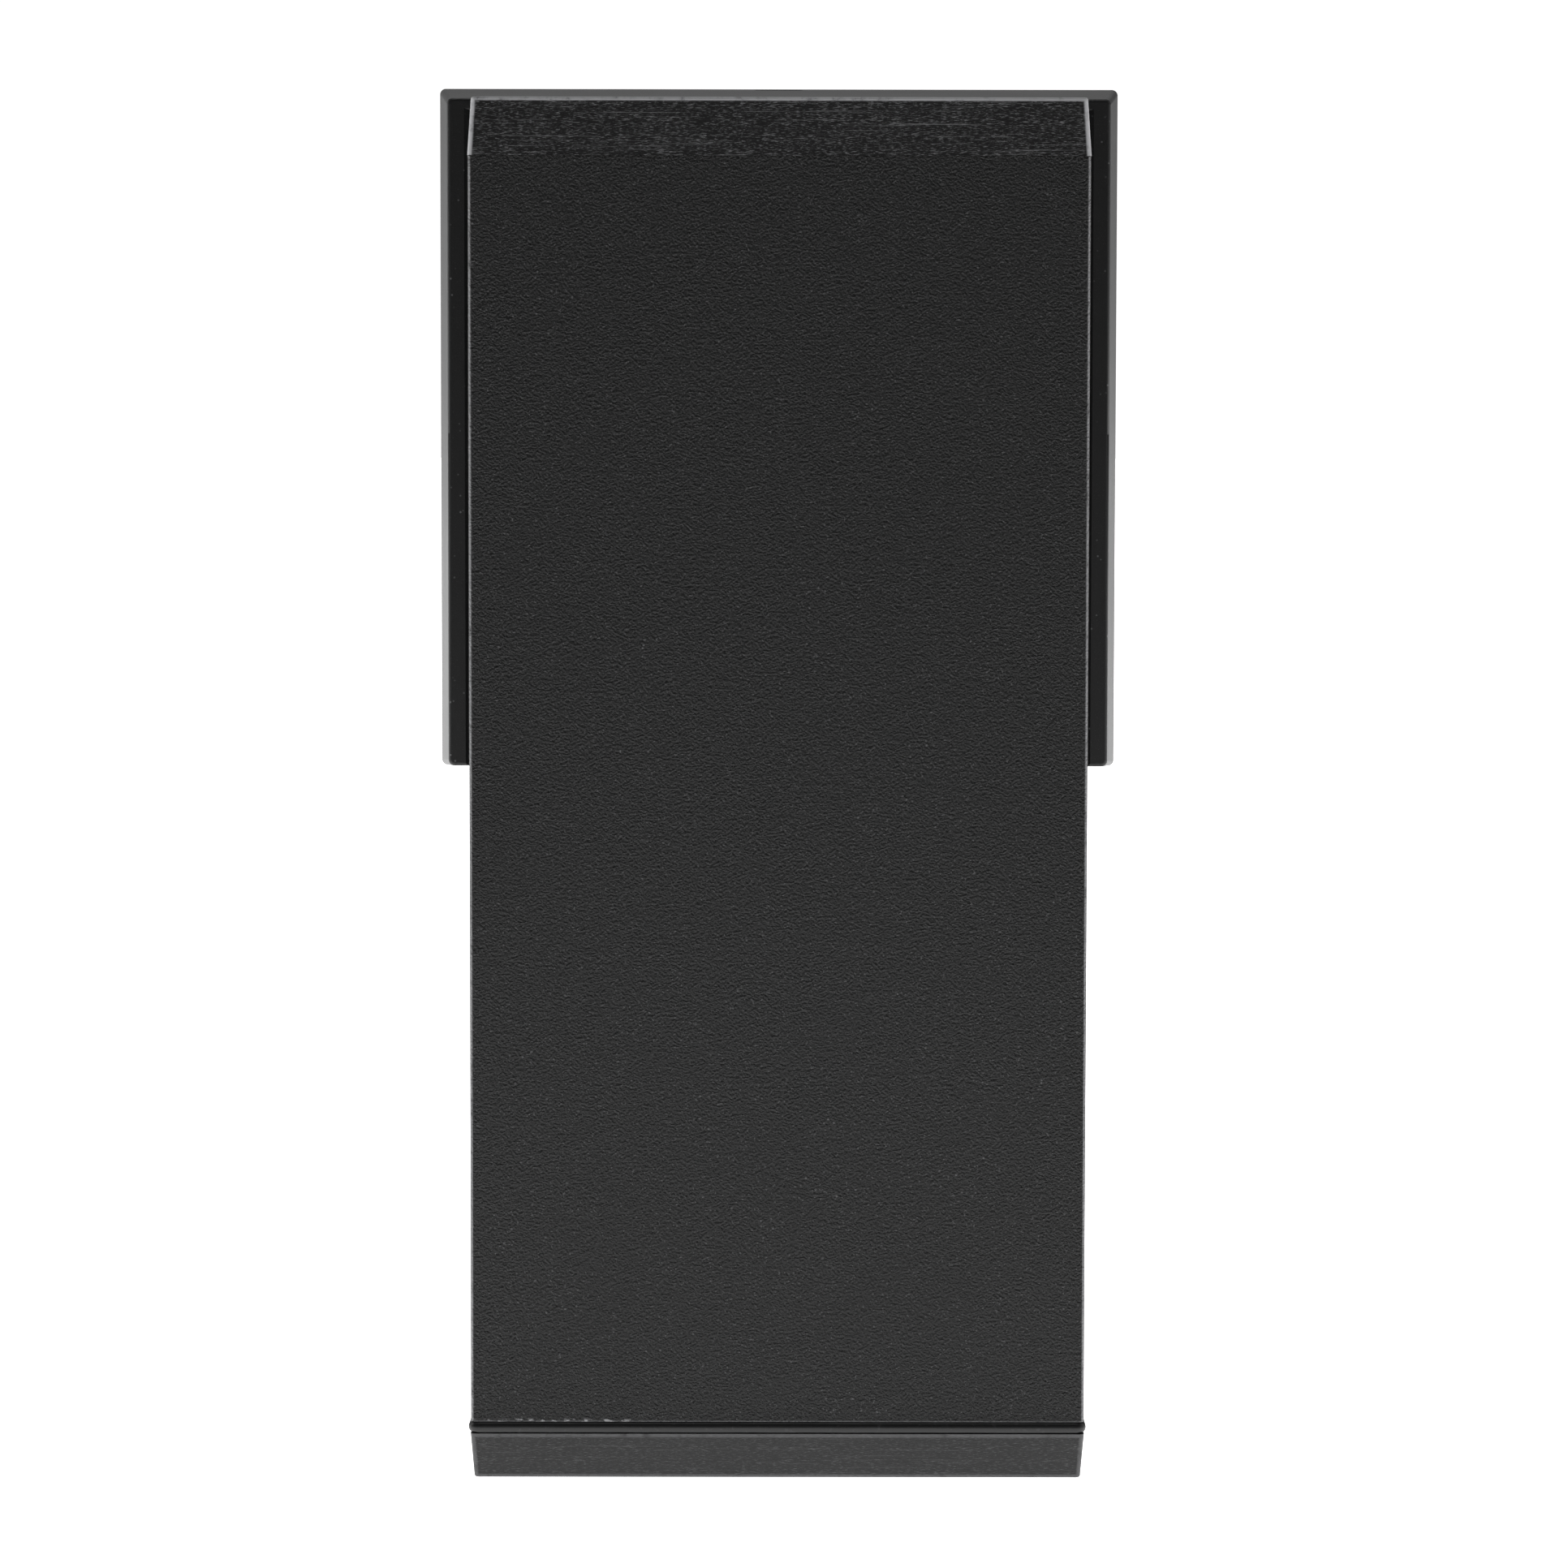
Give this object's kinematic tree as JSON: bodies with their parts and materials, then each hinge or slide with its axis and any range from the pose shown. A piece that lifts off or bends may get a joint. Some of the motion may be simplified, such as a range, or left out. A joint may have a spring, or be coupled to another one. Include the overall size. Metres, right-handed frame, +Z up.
{
  "type": "bookshelf speaker",
  "caption": "Tall narrow two-way bookshelf speaker: vinyl-wrapped cabinet with stained wood end caps, a wide square horn on top and a round woofer below.",
  "frame": {"origin": "middle of the footprint box, on the surface that the base cap stands on", "axes": "+Z up, -Y towards the listener (horn mouth and woofer), +Y the plain back, +X to the right of a viewer who looks along +Y at the front"},
  "size_m": [0.1882, 0.2158, 0.3472],
  "materials": {
    "black_vinyl": "fine orange-peel vinyl film, satin",
    "black_ash": "black-stained open grain, satin",
    "board": "raw fibreboard",
    "painted_board": "satin black lacquer on fibreboard",
    "black_rubber": "soft rubber, slight sheen",
    "moulded_black": "finely textured moulded plastic",
    "horn_black": "smooth satin moulded plastic",
    "black_screw": "black oxide steel",
    "zinc_screw": "zinc plated",
    "turned_steel": "turned and zinc plated",
    "ferrite": "sintered ferrite",
    "insert_brass": "machined brass",
    "titanium_dome": "thin formed titanium, satin",
    "amber_film": "amber film",
    "cast_frame": "die-cast frame, satin black powder coat",
    "cone_black": "mineral-filled cone, fine texture",
    "dust_cap_black": "soft gloss cap",
    "copper_wire": "enamelled copper winding",
    "spider_cloth": "resin-dipped cotton",
    "circuit_board": "solder-masked board",
    "phenolic": "phenolic strip",
    "film_capacitor": "taped film capacitor",
    "ceramic": "white ceramic",
    "gold_plate": "gold plated brass",
    "red_plastic": "gloss red plastic",
    "black_plastic": "gloss black plastic",
    "grey_foam": "open-cell acoustic foam",
    "wire_cover": "soft PVC insulation"
  },
  "bodies": {
    "cabinet": {"back_foam_pad": "grey_foam", "back_panel": "board", "base_cap": "black_ash", "base_gasket": "black_rubber", "base_screws": "black_screw", "binding_post_cores": "gold_plate", "binding_post_nuts": "gold_plate", "black_post_collar": "black_plastic", "cabinet_brace": "board", "corner_battens": "board", "crossover_board": "circuit_board", "crossover_capacitors": "film_capacitor", "crossover_inductors": "copper_wire", "crossover_resistors": "ceramic", "crossover_screws": "zinc_screw", "driver_back_cover": "moulded_black", "driver_gasket": "black_rubber", "driver_magnet": "ferrite", "driver_screws": "zinc_screw", "driver_top_plate": "turned_steel", "driver_yoke": "turned_steel", "front_baffle": "painted_board", "horn_flare": "horn_black", "horn_housing": "moulded_black", "horn_screws": "black_screw", "housing_screws": "zinc_screw", "input_wires": "wire_cover", "left_side_panel": "board", "phase_plug": "moulded_black", "red_post_collar": "red_plastic", "right_side_panel": "board", "side_foam_pads": "grey_foam", "stand_inserts": "insert_brass", "terminal_cup": "moulded_black", "terminal_cup_screws": "black_screw", "top_cap": "black_ash", "tweeter_surround": "amber_film", "tweeter_wires": "wire_cover", "vinyl_wrap": "black_vinyl", "woofer_basket": "cast_frame", "woofer_gasket": "black_rubber", "woofer_magnet": "ferrite", "woofer_screws": "black_screw", "woofer_spider": "spider_cloth", "woofer_surround": "black_rubber", "woofer_terminal_strip": "phenolic", "woofer_top_plate": "turned_steel", "woofer_trim_ring": "black_rubber", "woofer_wires": "wire_cover", "woofer_yoke": "turned_steel"},
    "woofer_moving_assembly": {"woofer_cone": "cone_black", "woofer_dust_cap": "dust_cap_black", "voice_coil_former": "amber_film", "voice_coil_winding": "copper_wire"},
    "tweeter_diaphragm": {"tweeter_dome": "titanium_dome", "tweeter_voice_coil": "copper_wire"},
    "red_clamp": {"red_post_washer": "gold_plate"},
    "red_cap": {"red_post_cap": "red_plastic"},
    "black_clamp": {"black_post_washer": "gold_plate"},
    "black_cap": {"black_post_cap": "black_plastic"}
  },
  "joints": [
    {"name": "woofer_excursion", "type": "slide", "parent": "cabinet", "child": "woofer_moving_assembly", "axis": [0, -1, 0], "range_m": [-0.004, 0.004], "stiffness_N_per_m": 1000},
    {"name": "tweeter_excursion", "type": "slide", "parent": "cabinet", "child": "tweeter_diaphragm", "axis": [0, -1, 0], "range_m": [-0.0003, 0.0003], "stiffness_N_per_m": 100},
    {"name": "red_cap_travel", "type": "slide", "parent": "cabinet", "child": "red_clamp", "axis": [0, 0, -1], "range_m": [0, 0.003]},
    {"name": "red_cap_turn", "type": "hinge", "parent": "red_clamp", "child": "red_cap", "pos_m": [-0.0095, 0.02, 0.02], "axis": [0, 0, -1], "range_deg": [0, 1080]},
    {"name": "black_cap_travel", "type": "slide", "parent": "cabinet", "child": "black_clamp", "axis": [0, 0, -1], "range_m": [0, 0.003]},
    {"name": "black_cap_turn", "type": "hinge", "parent": "black_clamp", "child": "black_cap", "pos_m": [0.0095, 0.02, 0.02], "axis": [0, 0, -1], "range_deg": [0, 1080]}
  ],
  "couplings": [
    {"joint": "red_cap_turn", "follows": "red_cap_travel", "rad_per_m": 6283.2},
    {"joint": "black_cap_turn", "follows": "black_cap_travel", "rad_per_m": 6283.2}
  ]
}
